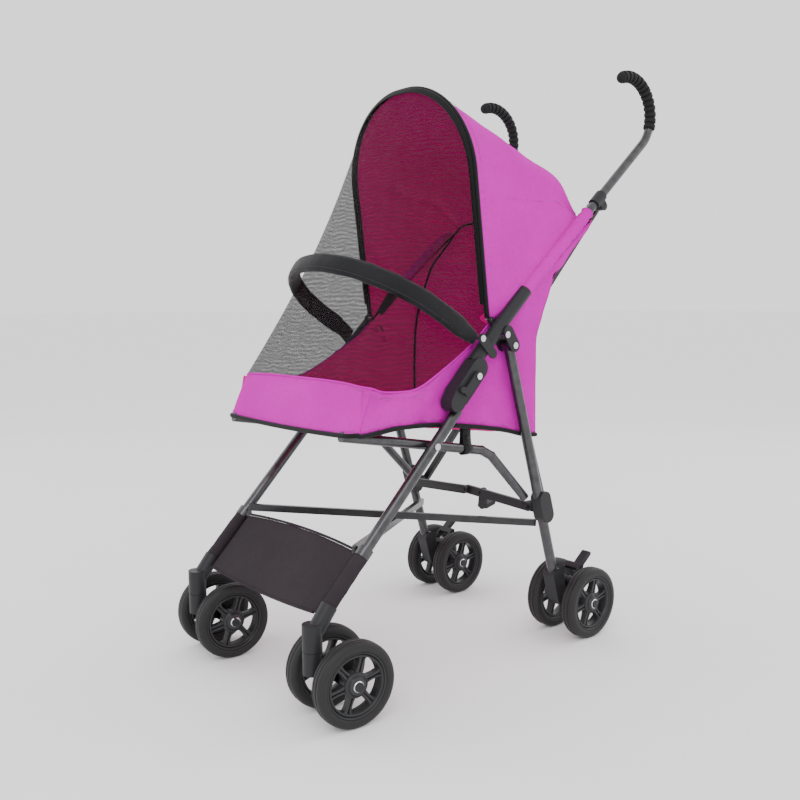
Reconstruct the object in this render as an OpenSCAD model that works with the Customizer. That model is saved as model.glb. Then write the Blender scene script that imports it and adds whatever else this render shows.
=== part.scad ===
// Umbrella-folding pet stroller: two tube side frames joined by crossed bars,
// four pairs of small wheels, and a fabric cabin with a mesh front.
// Millimetres. +Z is up and the stroller faces -Y. Right in a name is the +X
// side, as seen from the front. Points written [y, z] lie in a side view.

/* [Wheels] */
// Outer diameter of a wheel
wheel_d = 130; // [124:1:134]
// Width of a wheel
wheel_w = 27.6; // [25:0.2:28]
// Distance between the two wheels of a pair, centre to centre
pair_pitch = 82; // [81:1:84]
// Number of spokes in a wheel
spokes = 6; // [5:1:7]
// Distance from the caster's swivel axis back to its axle
caster_trail = 45; // [42:1:48]
// Angle that both casters are turned at rest
caster_turn = -6; // [-10:1:0]

/* [Frame] */
// Half the distance between the two side frames
half_w = 176.5; // [174:0.5:180]
// Outside diameter of the leg tubes
leg_d = 18; // [16:0.5:18]
// Outside diameter of the handle and seat tubes
tube_d = 16; // [14:0.5:16]
// Wall of the leg tubes
tube_wall = 1.2; // [1:0.1:2]
// Angle of the handle tube above level
handle_angle = 40.8; // [40.5:0.1:41]
// Length of the straight part of the handle tube
handle_len = 424; // [418:1:428]
// Bend radius of the cane-shaped handle end
hook_r = 66; // [62:1:68]

/* [Cabin] */
// Thickness of the fabric walls
cloth = 2.5; // [2:0.1:3]
// Half the inside width of the cabin
cabin_half_w = 152; // [148:1:152]
// Height of the canopy bow's top above the floor
bow_top = 978; // [960:1:985]
// Height of the padded bumper bar
bumper_h = 36; // [30:1:38]

/* [Fits] */
// Radial clearance of a pin in its hole
running = 0.05; // [0.03:0.01:0.08]
// Radius of the frame's pins
pin_r = 3; // [2.5:0.1:3.2]
// Gap between a turning part and its neighbour
gap = 0.6; // [0.5:0.1:0.8]

/* [Hidden] */
$fn = 40;

// Colours
gunmetal = [0.36, 0.36, 0.38];
black = [0.13, 0.13, 0.13];
silver = [0.8, 0.8, 0.82];
pink = [0.84, 0.3, 0.8];
dark_mesh = [0.45, 0.42, 0.45];
charcoal = [0.27, 0.24, 0.26];

wheel_r = wheel_d / 2;
leg_r = leg_d / 2;
tube_r = tube_d / 2;
hole_r = pin_r + running;
bow_pin_r = 2;
bow_lean = 7.2;
// Width of the mesh half way down, as a share of the straight run
mesh_waist = 0.9;

// Side-view points [y, z]
handle_foot = [58, 633.5];
sleeve_low = [-64.5, 516];
leg_pivot = [18.7, 542.2];
bow_pivot = [-14, 577];
bumper_pivot = [-58, 556];
leg_top = [-99, 440.8];
leg_foot = [-371, 156.8];
caster_y = -387;
seat_pivot = [-151, 387.5];
seat_bend = [-11, 363];
seat_rear = [84, 269];
rear_axle = [198.4, wheel_r];
rear_axle_x = 174.5;
rear_leg_foot = [150, 100];
collar_at = [109, 253];
lock_pivot = [92, 250];
cross_low = [115, 256.4];
lower_front = [-290, 247];
lower_rear = [113, 211];

// Unit direction from one side-view point to another, and a step along it
function way(a, b) = (b - a) / norm(b - a);
function along(a, b, d) = a + way(a, b) * d;
function slope(a, b) = atan2(b[1] - a[1], b[0] - a[0]);
function left_of(d) = [-d[1], d[0]];
function space(x, p) = [x, p[0], p[1]];

seat_front = seat_pivot - way(seat_pivot, seat_bend) * 169.5;

handle_way = [cos(handle_angle), sin(handle_angle)];
handle_top = handle_foot + handle_way * handle_len;
cross_pin = handle_foot + handle_way * 252 - left_of(handle_way) * 14;
cross_way = way(cross_pin, cross_low);
cross_out = left_of(cross_way);
cross_x = 155.5;
cross_side_len = norm(cross_low - cross_pin);
seat_x = half_w - leg_r - tube_r - 2;

// Everything is drawn for the +X side and mirrored for the other
module on_side(left) {
    if (left)
        mirror([1, 0, 0])
            children();
    else
        children();
}

// A plate whose outline is drawn in the side view, between two values of x
module plate(x0, x1) {
    translate([x0, 0, 0])
        rotate([90, 0, 90])
            linear_extrude(x1 - x0)
                children();
}

// A round bar between two points in space
module rod(a, b, r) {
    d = b - a;
    translate(a)
        rotate([0, acos(d[2] / norm(d)), atan2(d[1], d[0])])
            cylinder(h = norm(d), r = r);
}

// A straight tube in a side view
module side_tube(a, b, r, x = half_w) {
    difference() {
        rod(space(x, a), space(x, b), r);
        rod(space(x, along(a, b, -1)), space(x, along(b, a, -1)), r - tube_wall);
    }
}

// A pin across the frame
module cross_pin_shape(p, x0, x1, r) {
    translate(space(x0, p))
        rotate([0, 90, 0])
            cylinder(h = x1 - x0, r = r);
}

link_steps = 12;

// The outline of a flat link with round ends
module link(a, b, r) {
    turn = slope(a, b) - 90;
    polygon([for (k = [0:2 * link_steps + 1])
        let (far = k <= link_steps, angle = turn + 180 * (far ? k : k - 1) / link_steps)
            (far ? b : a) + r * [cos(angle), sin(angle)]]);
}

// ---- Handles ----

hook_turn = 160;

// Places a cane-bend shape: the bend starts where the straight handle ends
module at_hook() {
    translate(space(half_w, handle_top))
        rotate([90, 0, 90])
            rotate([0, 0, handle_angle])
                translate([0, hook_r])
                    rotate([0, 0, -90])
                        children();
}

module handle_tube(left) {
    color(gunmetal)
        on_side(left)
            rod(space(half_w, handle_foot - handle_way * 26), space(half_w, handle_top), tube_r);
    color(gunmetal)
        on_side(left)
            at_hook()
                rotate([0, 0, 0.05])
                    rotate_extrude(angle = 30)
                        translate([hook_r, 0])
                            circle(tube_r);
}

// Ribbed foam grip over the bend of the cane, with a round end
module grip(left) {
    start = 30.4;
    ribs = 13;
    pitch = (hook_turn - start) / ribs;
    color(black)
        on_side(left)
            at_hook() {
                rotate([0, 0, start])
                    rotate_extrude(angle = hook_turn - start)
                        translate([hook_r, 0])
                            circle(tube_r + 1.6);
                for (k = [0:ribs - 1])
                    rotate([0, 0, start + (k + 0.2) * pitch])
                        rotate_extrude(angle = pitch * 0.6)
                            translate([hook_r, 0])
                                circle(tube_r + 3);
                rotate([0, 0, hook_turn])
                    translate([hook_r, 0, 0])
                        sphere(tube_r + 2.2);
            }
}

// ---- Side frame ----

sleeve_way = way(sleeve_low, handle_foot);
bow_pin = bow_pivot + 8 * [-sin(bow_lean), cos(bow_lean)];
sleeve_r = 12;

module upper_sleeve(left) {
    color(black)
        on_side(left)
            difference() {
                union() {
                    rod(space(half_w, sleeve_low), space(half_w, handle_foot), sleeve_r);
                    plate(half_w - 11, half_w - 7)
                        link(bow_pin, bow_pin - left_of(sleeve_way) * 10, 5.5);
                }
                rod(space(half_w, handle_foot - handle_way * 26), space(half_w, handle_top), tube_r);
                cross_pin_shape(leg_pivot + [-19.3, 18.6], half_w - 20, half_w + 20, pin_r);
                cross_pin_shape(bow_pin, half_w - 20, half_w, bow_pin_r);
            }
}

// Black joint piece on the sleeve: two cheeks that hold the rear leg's top,
// and a lug outside the bumper bar's end
module pivot_bracket(left) {
    cheek = 3;
    inner = leg_r + 1.5;
    seat = leg_pivot + [-19.3, 18.6];
    color(black)
        on_side(left)
            difference() {
                union() {
                    for (x = [half_w - sleeve_r - 0.3 - cheek, half_w + sleeve_r + 0.3])
                        plate(x, x + cheek)
                            link(seat + sleeve_way * 6, leg_pivot, 11);
                    plate(half_w + sleeve_r + 0.3, half_w + sleeve_r + 0.3 + cheek)
                        link(seat - sleeve_way * 44, bumper_pivot, 8);
                    plate(half_w + inner, half_w + sleeve_r + 0.4)
                        translate(leg_pivot)
                            circle(8);
                    plate(half_w - sleeve_r - 0.4, half_w - inner)
                        translate(leg_pivot)
                            circle(8);
                }
                cross_pin_shape(leg_pivot, half_w - 20, half_w + 20, hole_r);
                cross_pin_shape(seat, half_w - 20, half_w + 20, hole_r);
                cross_pin_shape(bumper_pivot, half_w, half_w + 20, hole_r);
            }
}

housing_x = [half_w - leg_r - 0.4, half_w + 16];
housing_mid = [-82, 489];
catch_pivot = [-72, 496];

// Block that joins the sleeve to the front leg and carries the latch
module latch_housing(left) {
    color(black)
        on_side(left)
            difference() {
                plate(housing_x[0], housing_x[1])
                    union() {
                        link(housing_mid + [19, 19], housing_mid + [-21, -23], 17);
                        link(housing_mid + [-14, -14], housing_mid + [-30, -34], 15);
                    }
                rod(space(half_w, leg_top - way(leg_top, leg_foot) * 30),
                    space(half_w, along(leg_top, leg_foot, 80)), leg_r + 0.1);
                rod(space(half_w, sleeve_low - sleeve_way * 0.2),
                    space(half_w, handle_foot), sleeve_r + 0.1);
                cross_pin_shape(catch_pivot, half_w + 12, half_w + 40, hole_r);
            }
}

// Turning catch on the outside of the latch housing
module latch_catch(left) {
    x0 = housing_x[1] + gap;
    color(black)
        on_side(left)
            difference() {
                plate(x0, x0 + 5)
                    union() {
                        link(catch_pivot, catch_pivot + [-22, -23], 8);
                        link(catch_pivot + [-22, -23], catch_pivot + [-34, -20], 5);
                    }
                cross_pin_shape(catch_pivot, x0 - 5, x0 + 10, hole_r);
            }
}

module front_leg(left) {
    clip = along(leg_top, leg_foot, 270);
    color(gunmetal)
        on_side(left)
            difference() {
                side_tube(leg_top, leg_foot, leg_r);
                cross_pin_shape(seat_pivot, half_w - 30, half_w + 30, pin_r);
            }
    color(black)
        on_side(left)
            difference() {
                rod(space(half_w, clip), space(half_w, along(clip, leg_foot, 16)), leg_r + 3);
                side_tube_bore(clip, leg_foot, leg_r + 0.1);
            }
}

// The space a tube passes through in a piece round it
module side_tube_bore(a, b, r) {
    rod(space(half_w, along(a, b, -60)), space(half_w, along(a, b, 160)), r);
}

// Fixed socket at the foot of the front leg
socket_z = [112, 152];

module caster_socket(left) {
    color(black)
        on_side(left)
            difference() {
                union() {
                    translate([half_w, caster_y, socket_z[0]])
                        cylinder(h = socket_z[1] - socket_z[0], r = 15);
                    rod([half_w, caster_y + 4, 138], space(half_w, along(leg_foot, leg_top, 22)),
                        leg_r + 4);
                }
                rod(space(half_w, leg_foot), space(half_w, leg_top), leg_r + 0.1);
                translate([half_w, caster_y, socket_z[0] - 1])
                    cylinder(h = 32, r = 5 + running);
            }
}

// ---- Wheels ----

hub_r = 18;
rim_r = 50;
axle_r = 4;
fork_half = (pair_pitch - wheel_w) / 2 - gap;

// One wheel on an axle along X, centred: a tyre and a spoked rim
module wheel() {
    rim_w = wheel_w - 7;
    color(black)
        rotate([0, 90, 0])
            rotate_extrude()
                difference() {
                    translate([rim_r + 0.15, -wheel_w / 2])
                        square([wheel_r - rim_r - 0.15, wheel_w]);
                    for (s = [-1, 1])
                        translate([wheel_r, s * wheel_w / 2])
                            rotate([0, 0, 45])
                                square(8, center = true);
                }
    color(charcoal)
        rotate([0, 90, 0])
            difference() {
                union() {
                    rotate_extrude()
                        translate([rim_r - 7, -rim_w / 2])
                            square([7, rim_w]);
                    cylinder(h = wheel_w, r = hub_r, center = true);
                    for (a = [0:spokes - 1])
                        rotate([0, 0, a * 360 / spokes])
                            for (s = [-1, 1])
                                translate([(rim_r + hub_r - 8) / 2, s * 5.5, 0])
                                    cube([rim_r - hub_r, 4.5, 15], center = true);
                }
                cylinder(h = wheel_w + 2, r = axle_r + running, center = true);
            }
}

// An axle with a head outside each wheel
module axle() {
    reach = pair_pitch / 2 + wheel_w / 2 + gap;
    color(silver)
        rotate([0, 90, 0]) {
            cylinder(h = 2 * reach, r = axle_r, center = true);
            for (s = [0, 1])
                mirror([0, 0, s])
                    translate([0, 0, reach])
                        cylinder(h = 3, r = 7);
        }
}

// Places a shape drawn about a caster's axle; x is the pair's own left and right
module at_caster(left) {
    translate([(left ? -1 : 1) * half_w, caster_y, 0])
        rotate([0, 0, caster_turn])
            translate([0, caster_trail, wheel_r])
                children();
}

module caster_fork(left) {
    color(black)
        at_caster(left) {
            difference() {
                union() {
                    plate(-12, 12)
                        union() {
                            link([0, 0], [-caster_trail + 4, 31], 12);
                            link([0, 0], [8, 22], 10);
                        }
                    rotate([0, 90, 0])
                        cylinder(h = 2 * fork_half, r = 10, center = true);
                    translate([0, -caster_trail, 12])
                        cylinder(h = socket_z[0] - wheel_r - 12 - gap, r = 15);
                }
                rotate([0, 90, 0])
                    cylinder(h = 200, r = axle_r, center = true);
            }
            translate([0, -caster_trail, 30])
                cylinder(h = 46, r = 5);
        }
    at_caster(left)
        axle();
}

module front_wheel(left, side) {
    at_caster(left)
        translate([side * pair_pitch / 2, 0, 0])
            wheel();
}

module at_rear_axle(left) {
    translate([(left ? -1 : 1) * rear_axle_x, rear_axle[0], rear_axle[1]])
        children();
}

module rear_wheel(left, side) {
    at_rear_axle(left)
        translate([side * pair_pitch / 2, 0, 0])
            wheel();
}

// ---- Rear leg and what is on it ----

pedal_pivot = [184, 101];

module rear_leg(left) {
    color(gunmetal)
        on_side(left)
            difference() {
                union() {
                    side_tube(leg_pivot, rear_leg_foot, leg_r);
                    cross_pin_shape(leg_pivot, half_w - leg_r, half_w + leg_r, leg_r + 1.2);
                }
                cross_pin_shape(leg_pivot, half_w - 20, half_w + 20, hole_r);
            }
}

// Block round the rear leg, with an ear and pin for the lock bar in front and a
// stub behind that meets the back cross bar
module rear_collar(left) {
    ear_y = [lock_pivot[0] + bar_t + gap, collar_at[0]];
    color(black)
        on_side(left)
            difference() {
                union() {
                    plate(half_w - leg_r - 1.2, half_w + leg_r + 4)
                        link(collar_at + [-4, 14], collar_at + [5, -16], 14);
                    translate([lock_x - 9, ear_y[0], lock_pivot[1] - 9])
                        cube([half_w - leg_r - lock_x + 9, ear_y[1] - ear_y[0], 18]);
                }
                rod(space(half_w, leg_pivot), space(half_w, rear_leg_foot), leg_r + 0.1);
            }
    color(silver)
        on_side(left)
            translate([lock_x, lock_pivot[0] - bar_t - 2, lock_pivot[1]])
                rotate([-90, 0, 0])
                    cylinder(h = ear_y[0] - lock_pivot[0] + bar_t + 2, r = pin_r);
    color(silver)
        on_side(left)
            at_cross()
                translate([cross_x, cross_side_len, -8])
                    cylinder(h = cross_layer(!left) + 8 - 1.5, r = pin_r + 1);
}

module rear_wheel_housing(left) {
    leg_axis = [for (p = [leg_pivot, rear_leg_foot]) p];
    color(black)
        on_side(left)
            difference() {
                union() {
                    plate(rear_axle_x - 12, rear_axle_x + 14)
                        union() {
                            link([158, 76], [145, 120], 13);
                            link([160, 72], rear_axle, 12);
                            link(rear_axle, pedal_pivot, 9);
                        }
                    translate(space(rear_axle_x, rear_axle))
                        rotate([0, 90, 0])
                            cylinder(h = 2 * fork_half, r = 10, center = true);
                }
                rod(space(half_w, leg_axis[0]), space(half_w, leg_axis[1]), leg_r + 0.1);
                translate(space(rear_axle_x, rear_axle))
                    rotate([0, 90, 0])
                        cylinder(h = 200, r = axle_r, center = true);
                cross_pin_shape(pedal_pivot, rear_axle_x - 30, rear_axle_x + 30, pin_r);
            }
    color(silver)
        on_side(left)
            cross_pin_shape(pedal_pivot, rear_axle_x - 18, rear_axle_x + 20, pin_r);
    at_rear_axle(left)
        axle();
}

module brake_pedal(left) {
    tip = pedal_pivot + [46, 44];
    arm = pedal_pivot + [14, 17];
    color(black)
        on_side(left)
            difference() {
                union() {
                    for (x = [rear_axle_x - 12 - gap - 4, rear_axle_x + 14 + gap])
                        plate(x, x + 4)
                            link(pedal_pivot, arm, 6);
                    plate(rear_axle_x - 12 - gap - 4, rear_axle_x + 18 + gap)
                        link(arm + [3, 3.6], arm + [8, 8], 4.5);
                    plate(rear_axle_x, rear_axle_x + 16)
                        link(arm + [3, 3.6], tip, 4.5);
                }
                cross_pin_shape(pedal_pivot, rear_axle_x - 30, rear_axle_x + 30, hole_r);
            }
}

// ---- Seat tube ----

module seat_tube(left) {
    bend_len = 14;
    a = along(seat_bend, seat_pivot, bend_len);
    b = along(seat_bend, seat_rear, bend_len);
    color(gunmetal)
        on_side(left)
            difference() {
                union() {
                    rod(space(seat_x, seat_front), space(seat_x, a), tube_r);
                    rod(space(seat_x, a), space(seat_x, b), tube_r);
                    rod(space(seat_x, b), space(seat_x, seat_rear), tube_r);
                    for (p = [a, b])
                        translate(space(seat_x, p))
                            sphere(tube_r + 0.4);
                }
                cross_pin_shape(seat_pivot, 0, 300, hole_r);
            }
}

// ---- Crossed bars ----

bar_t = 7;
bar_w = 14;
lower_t = 12;
lower_w = 10;

// Places a shape drawn in the plane of the back cross: x across the stroller,
// y down the bars, z out of the back
module at_cross() {
    multmatrix([
        [1, 0, 0, 0],
        [0, cross_way[0], cross_out[0], cross_pin[0]],
        [0, cross_way[1], cross_out[1], cross_pin[1]],
        [0, 0, 0, 1]
    ])
        children();
}

function cross_layer(left) = left ? 17 : 9;

// Clip on the handle tube that carries the pin for the back cross
module cross_bracket(left) {
    foot = handle_foot + handle_way * 252;
    color(black)
        on_side(left)
            difference() {
                union() {
                    rod(space(half_w, foot - handle_way * 14), space(half_w, foot + handle_way * 14),
                        tube_r + 3);
                    plate(half_w - tube_r - 1, half_w + 9)
                        link(foot - left_of(handle_way) * 6, cross_pin, 8);
                }
                rod(space(half_w, handle_foot), space(half_w, handle_top), tube_r + 0.1);
                cross_pin_shape(cross_pin, half_w - 20, half_w + 20, pin_r);
            }
    color(silver)
        on_side(left)
            cross_pin_shape(cross_pin, cross_x - 9, half_w + 9, pin_r);
}

// Small swivel between the bracket's pin and the top of a bar
module cross_yoke(left) {
    layer = cross_layer(left);
    color(gunmetal)
        on_side(left)
            difference() {
                union() {
                    cross_pin_shape(cross_pin, cross_x - 7, cross_x + 7, 6.5);
                    at_cross()
                        translate([cross_x, 0, 0])
                            cylinder(h = layer + bar_t + 3, r = pin_r);
                    at_cross()
                        translate([cross_x, 0, 0])
                            cylinder(h = layer - gap, r = 6);
                }
                cross_pin_shape(cross_pin, cross_x - 20, cross_x + 20, hole_r);
            }
}

// Bar from the yoke on one side down to the collar on the other
module back_cross_bar(left) {
    layer = cross_layer(left);
    a = [cross_x, 0];
    b = [-cross_x, cross_side_len];
    color(gunmetal)
        on_side(left)
            at_cross()
                translate([0, 0, layer])
                    linear_extrude(bar_t)
                        difference() {
                            link(a, b, bar_w / 2);
                            translate(a)
                                circle(hole_r);
                            translate(b)
                                circle(pin_r);
                        }
}

lower_way = way(lower_front, lower_rear);
lower_half_x = 154;
lower_half_y = norm(lower_rear - lower_front) / 2;

// Places a shape drawn in the plane of the lower cross: x across, y to the rear
module at_lower_cross() {
    mid = (lower_front + lower_rear) / 2;
    up = left_of(lower_way);
    multmatrix([
        [1, 0, 0, 0],
        [0, lower_way[0], up[0], mid[0]],
        [0, lower_way[1], up[1], mid[1]],
        [0, 0, 0, 1]
    ])
        children();
}

// Flat bar under the seat, from the front leg on one side to the collar on the other
module lower_cross_bar(left) {
    low = left ? 0.4 : -0.4 - lower_t;
    a = [lower_half_x, -lower_half_y];
    color(gunmetal)
        on_side(left)
            at_lower_cross()
                translate([0, 0, low])
                    linear_extrude(lower_t)
                        difference() {
                            link(a, -a, lower_w / 2);
                            circle(left ? hole_r : pin_r);
                            for (end = [a, -a])
                                translate(end)
                                    circle(2);
                        }
    if (!left)
        color(silver)
            at_lower_cross()
                translate([0, 0, low])
                    cylinder(h = 2 * lower_t + 4, r = pin_r);
}

// ---- Lock bar between the rear legs ----

lock_x = 158;
lock_rise = 8;
lever_x = 36;

// Half of the folding bar: a flat bar that laps the other half at the middle
module lock_bar(left) {
    y0 = lock_pivot[0] + (left ? -bar_t : gap);
    thick = bar_t - (left ? 0 : gap);
    lever_rise = lock_rise * (1 - lever_x / lock_x);
    // Each pin: across, up, and where it starts and ends to the rear
    pins = left
        ? [[0, lock_rise, -9, -1]]
        : [[0, lock_rise, gap + 1, 11], [lever_x, lever_rise, gap + 1, 15]];
    color(black)
        on_side(left)
            translate([0, y0 + thick, 0])
                rotate([90, 0, 0])
                    linear_extrude(thick)
                        difference() {
                            link([lock_x, lock_pivot[1]], [0, lock_pivot[1] + lock_rise], 8);
                            translate([lock_x, lock_pivot[1]])
                                circle(hole_r);
                            for (p = pins)
                                translate([p[0], lock_pivot[1] + p[1]])
                                    circle(pin_r);
                        }
    color(silver)
        for (p = pins)
            translate([p[0], lock_pivot[0] + p[2], lock_pivot[1] + p[1]])
                rotate([-90, 0, 0])
                    cylinder(h = p[3] - p[2], r = pin_r);
}

// Foot lever beside the middle joint: a hook that hangs behind the bar
module foot_lever() {
    y0 = lock_pivot[0] + bar_t + gap;
    z0 = lock_pivot[1] + lock_rise * (1 - lever_x / lock_x);
    color(black)
        difference() {
            union() {
                translate([0, y0 + 6, 0])
                    rotate([90, 0, 0])
                        linear_extrude(6)
                            link([lever_x, z0], [lever_x - 2, z0 - 24], 9);
                plate(lever_x - 12, lever_x + 8)
                    link([y0 + 4, z0 - 27], [y0 + 24, z0 - 22], 4);
            }
            translate([lever_x, y0 - 1, z0])
                rotate([-90, 0, 0])
                    cylinder(h = 20, r = hole_r);
        }
}

// ---- Canopy bow ----

bow_x = 160;
bow_r = 4;
bow_round = 150;

// Places a shape drawn in the bow's plane: x across, y up the bow
module at_bow() {
    translate(space(0, bow_pivot))
        rotate([90 + bow_lean, 0, 0])
            children();
}

bow_h = (bow_top - bow_pivot[1]) / cos(bow_lean) - bow_r;

// A flattened arch: two straight legs, two corner arcs and a shallow crown
module canopy_bow() {
    crown_rise = 26;
    half_flat = bow_x - bow_round;
    corner_up = bow_h - bow_round;
    color(black)
        at_bow() {
            for (s = [0, 1])
                mirror([s, 0, 0]) {
                    difference() {
                        translate([bow_x, 2, 0])
                            rotate([-90, 0, 0])
                                cylinder(h = corner_up - 2, r = bow_r);
                        translate([bow_x - 20, 8, 0])
                            rotate([0, 90, 0])
                                cylinder(h = 40, r = bow_pin_r + running);
                    }
                    translate([half_flat, corner_up, 0])
                        rotate_extrude(angle = 90)
                            translate([bow_round, 0])
                                circle(bow_r);
                }
            translate([-half_flat, bow_h, 0])
                rotate([0, 90, 0])
                    cylinder(h = 2 * half_flat, r = bow_r);
        }
}

// ---- Bumper bar ----

bumper_angle = 32;
bumper_t = 12;
bumper_half_x = 170;
bumper_reach = 238;

// A padded band: two straight arms and a half-round front
module bumper_bar() {
    arm = bumper_reach - bumper_half_x;
    color(black)
        difference() {
            translate(space(0, bumper_pivot))
                rotate([-bumper_angle, 0, 0])
                    mirror([0, 1, 0])
                        difference() {
                            union() {
                                for (s = [-1, 1])
                                    translate([s * bumper_half_x, arm / 2 - 5, 0])
                                        cube([bumper_t, arm + 10, bumper_h], center = true);
                                translate([0, arm, 0])
                                    rotate_extrude(angle = 180)
                                        translate([bumper_half_x - bumper_t / 2, -bumper_h / 2])
                                            square([bumper_t, bumper_h]);
                            }
                            for (s = [-1, 1])
                                translate([0, -4, s * (bumper_h / 2 + 4)])
                                    rotate([s * 28, 0, 0])
                                        cube([400, 40, 20], center = true);
                        }
            cross_pin_shape(bumper_pivot, -300, 300, hole_r);
        }
}

// ---- Fabric ----

side_outline = [
    [-292, 427], [-219, 425], [-137, 421], [-47, 409], [25, 398], [76, 386], [104, 382],
    [103, 549], [141, 655], [196, 722], [224, 758], [190, 776], [142, 817], [-40, 850], [-28, 760],
    [-14, 651], [-5, 590], [-44, 558], [-83, 531], [-137, 500], [-179, 482], [-219, 481], [-280, 488]
];

module cabin_side(left) {
    color(pink)
        on_side(left)
            plate(cabin_half_w, cabin_half_w + cloth)
                polygon(side_outline);
}

// Back wall, upright below and leaning back above
module cabin_back() {
    face = [[104, 383], [103, 549], [141, 655], [196, 722], [224, 757]];
    color(pink)
        plate(-cabin_half_w + 0.5, cabin_half_w - 0.5)
            polygon(concat(face, [for (i = [4:-1:0]) face[i] - [cloth + 1, 0]]));
}

// Padded floor board
module cabin_floor() {
    color(pink)
        plate(-cabin_half_w + 5, cabin_half_w - 5)
            polygon([[-300, 424], [-137, 414], [-47, 402], [96, 384], [96, 393], [-47, 412], [-137, 424],
                     [-300, 434]]);
}

// A thin curved sheet from a grid of points, thickened by a step for each column
module sheet(grid, push) {
    rows = len(grid);
    cols = len(grid[0]);
    top = [for (r = grid) for (p = r) p];
    low = [for (r = grid) for (j = [0:cols - 1]) r[j] + push[j]];
    n = rows * cols;
    function at(i, j) = i * cols + j;
    rim = concat(
        [for (j = [0:cols - 1]) at(0, j)],
        [for (i = [1:rows - 1]) at(i, cols - 1)],
        [for (j = [cols - 2:-1:0]) at(rows - 1, j)],
        [for (i = [rows - 2:-1:1]) at(i, 0)]
    );
    polyhedron(
        points = concat(top, low),
        faces = concat(
            [for (i = [0:rows - 2]) for (j = [0:cols - 2]) [at(i, j), at(i, j + 1), at(i + 1, j + 1)]],
            [for (i = [0:rows - 2]) for (j = [0:cols - 2]) [at(i, j), at(i + 1, j + 1), at(i + 1, j)]],
            [for (i = [0:rows - 2]) for (j = [0:cols - 2])
                [n + at(i, j), n + at(i + 1, j + 1), n + at(i, j + 1)]],
            [for (i = [0:rows - 2]) for (j = [0:cols - 2])
                [n + at(i, j), n + at(i + 1, j), n + at(i + 1, j + 1)]],
            [for (k = [0:len(rim) - 1]) [rim[k], n + rim[k], rim[(k + 1) % len(rim)]]],
            [for (k = [0:len(rim) - 1]) [n + rim[k], n + rim[(k + 1) % len(rim)], rim[(k + 1) % len(rim)]]]
        )
    );
}

// Half-oval arch across the stroller at parameter t from 0 to 1
function arch(t, half, rise, squareness) =
    let (a = 180 * t, c = cos(a), s = sin(a))
        [half * sign(c) * pow(abs(c), squareness), rise * pow(s, squareness)];

arch_steps = 20;

// Roof: from behind the bow to the rear edge above the back wall.
// Each row: y and z where it meets the side wall, y and z at its crown, squareness
module canopy_roof() {
    rows = [
        [-39, 853, -54, 968, 0.9], [40, 839, 40, 923, 0.8], [115, 825, 120, 884, 0.7],
        [146, 817, 204, 845, 0.6], [222, 762, 230, 770, 0.5]
    ];
    color(pink)
        sheet([for (r = rows)
            [for (k = [0:arch_steps])
                let (p = arch(k / arch_steps, cabin_half_w - 1, 1, r[4]))
                    [p[0], r[0] + (r[2] - r[0]) * p[1], r[1] + (r[3] - r[1]) * p[1]]]],
            [for (k = [0:arch_steps])
                let (a = 180 * k / arch_steps)
                    [-cloth * cos(a), 0, -cloth * (sin(a) + 0.1)]]);
}

// Point on the bow's line at parameter t from 0 to 1, drawn in by an inset
function bow_point(t, inset) =
    let (u = 1 - abs(2 * t - 1), legs = 0.5, up = bow_h - bow_round, a = 90 * (u - legs) / (1 - legs))
        [sign(0.5 - t + 1e-6) * (u < legs ? bow_x - inset : bow_x - bow_round + (bow_round - inset) * cos(a)),
         u < legs ? 30 + (up - 30) * u / legs : up + (bow_round - inset) * sin(a)];

// Mesh front: from the bow down to the top of the front band
module mesh_panel() {
    steps = 2 * arch_steps;
    bow_edge = [for (k = [0:steps])
        let (p = bow_point(k / steps, 7))
            [p[0], bow_pivot[0] - 9 - p[1] * sin(bow_lean), bow_pivot[1] + p[1] * cos(bow_lean)]];
    band_edge = [for (k = [0:steps])
        let (p = arch(k / steps, 1, 1, 0.3))
            [p[0] * (148 + 24 * p[1]), -62 - 224 * p[1], 545 - 45 * p[1]]];
    middle = [for (k = [0:steps])
        let (m = (bow_edge[k] + band_edge[k]) / 2)
            [m[0] * mesh_waist, m[1] + 7, m[2]]];
    color(dark_mesh)
        sheet([bow_edge, middle, band_edge],
            [for (k = [0:steps])
                let (a = 180 * k / steps)
                    [-2.5 * cos(a), 2.2 * sin(a) + 0.5, 0.8 * sin(a)]]);
}

// Band across the foot of the mesh, and its two short wings
module front_band() {
    low = [-315, 428];
    high = [-287, 495];
    color(pink)
        plate(-174, 174)
            polygon([low, high, high + [cloth, 0], low + [cloth, 0]]);
}

// Cloth between the front legs
module footrest_panel() {
    a = along(leg_top, leg_foot, 286);
    b = along(leg_top, leg_foot, 389);
    side = left_of(way(a, b)) * 1.5;
    color(charcoal)
        plate(6 + leg_r - half_w, half_w - leg_r - 6)
            polygon([a + side, b + side, b - side, a - side]);
}

// ---- Pins and rivets ----

module rivet(p, x0, x1, head = 1) {
    cross_pin_shape(p, x0, x1, pin_r);
    cross_pin_shape(p, x1, x1 + 2, pin_r + 2.5);
    if (head > 1)
        cross_pin_shape(p, x0 - 2, x0, pin_r + 2.5);
}

module frame_rivets(left) {
    cheek_out = half_w + sleeve_r + 3.4;
    color(silver)
        on_side(left) {
            rivet(leg_pivot, half_w - sleeve_r - 3.4, cheek_out, 2);
            rivet(leg_pivot + [-19.3, 18.6], half_w - sleeve_r - 3.4, cheek_out, 2);
            rivet(bumper_pivot, bumper_half_x - 5, cheek_out);
            cross_pin_shape(bow_pin, bow_x - 4, half_w - 7, bow_pin_r);
            rivet(catch_pivot, half_w + 13, housing_x[1] + gap + 5 + gap);
            rivet(seat_pivot, seat_x - tube_r, half_w + leg_r + 0.2, 2);
        }
}

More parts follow.
